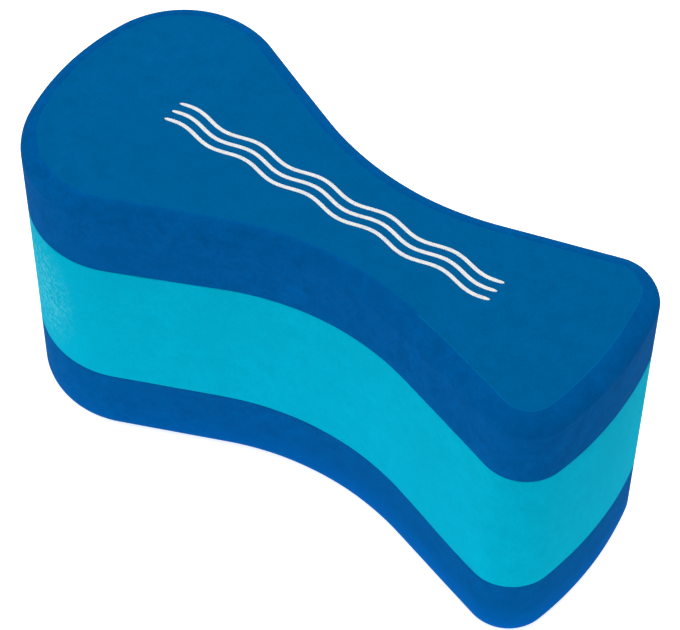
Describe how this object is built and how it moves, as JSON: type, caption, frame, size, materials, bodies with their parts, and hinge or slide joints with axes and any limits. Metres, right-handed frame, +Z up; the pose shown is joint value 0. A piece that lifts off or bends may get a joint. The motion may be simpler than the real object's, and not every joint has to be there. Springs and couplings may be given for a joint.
{
  "type": "pull buoy",
  "caption": "Laminated foam swimming float with an hourglass plan, rounded rims and a wave print, held between the thighs.",
  "frame": {"origin": "middle of the plan's box on the resting face", "axes": "+X along the float to its small lobe, +Y across it, +Z up through the stack of layers"},
  "size_m": [0.24, 0.1086, 0.1305],
  "materials": {
    "dark_blue_foam": "matte closed-cell foam with a fine pore texture",
    "cyan_foam": "matte closed-cell foam with a fine pore texture",
    "adhesive": "dry contact adhesive",
    "white_ink": "matte printed ink"
  },
  "bodies": {
    "root": {"top_foam_layer": "dark_blue_foam", "centre_foam_layer": "cyan_foam", "bottom_foam_layer": "dark_blue_foam", "upper_adhesive_film": "adhesive", "lower_adhesive_film": "adhesive", "print_wave_1": "white_ink", "print_wave_2": "white_ink", "print_wave_3": "white_ink"}
  },
  "joints": []
}
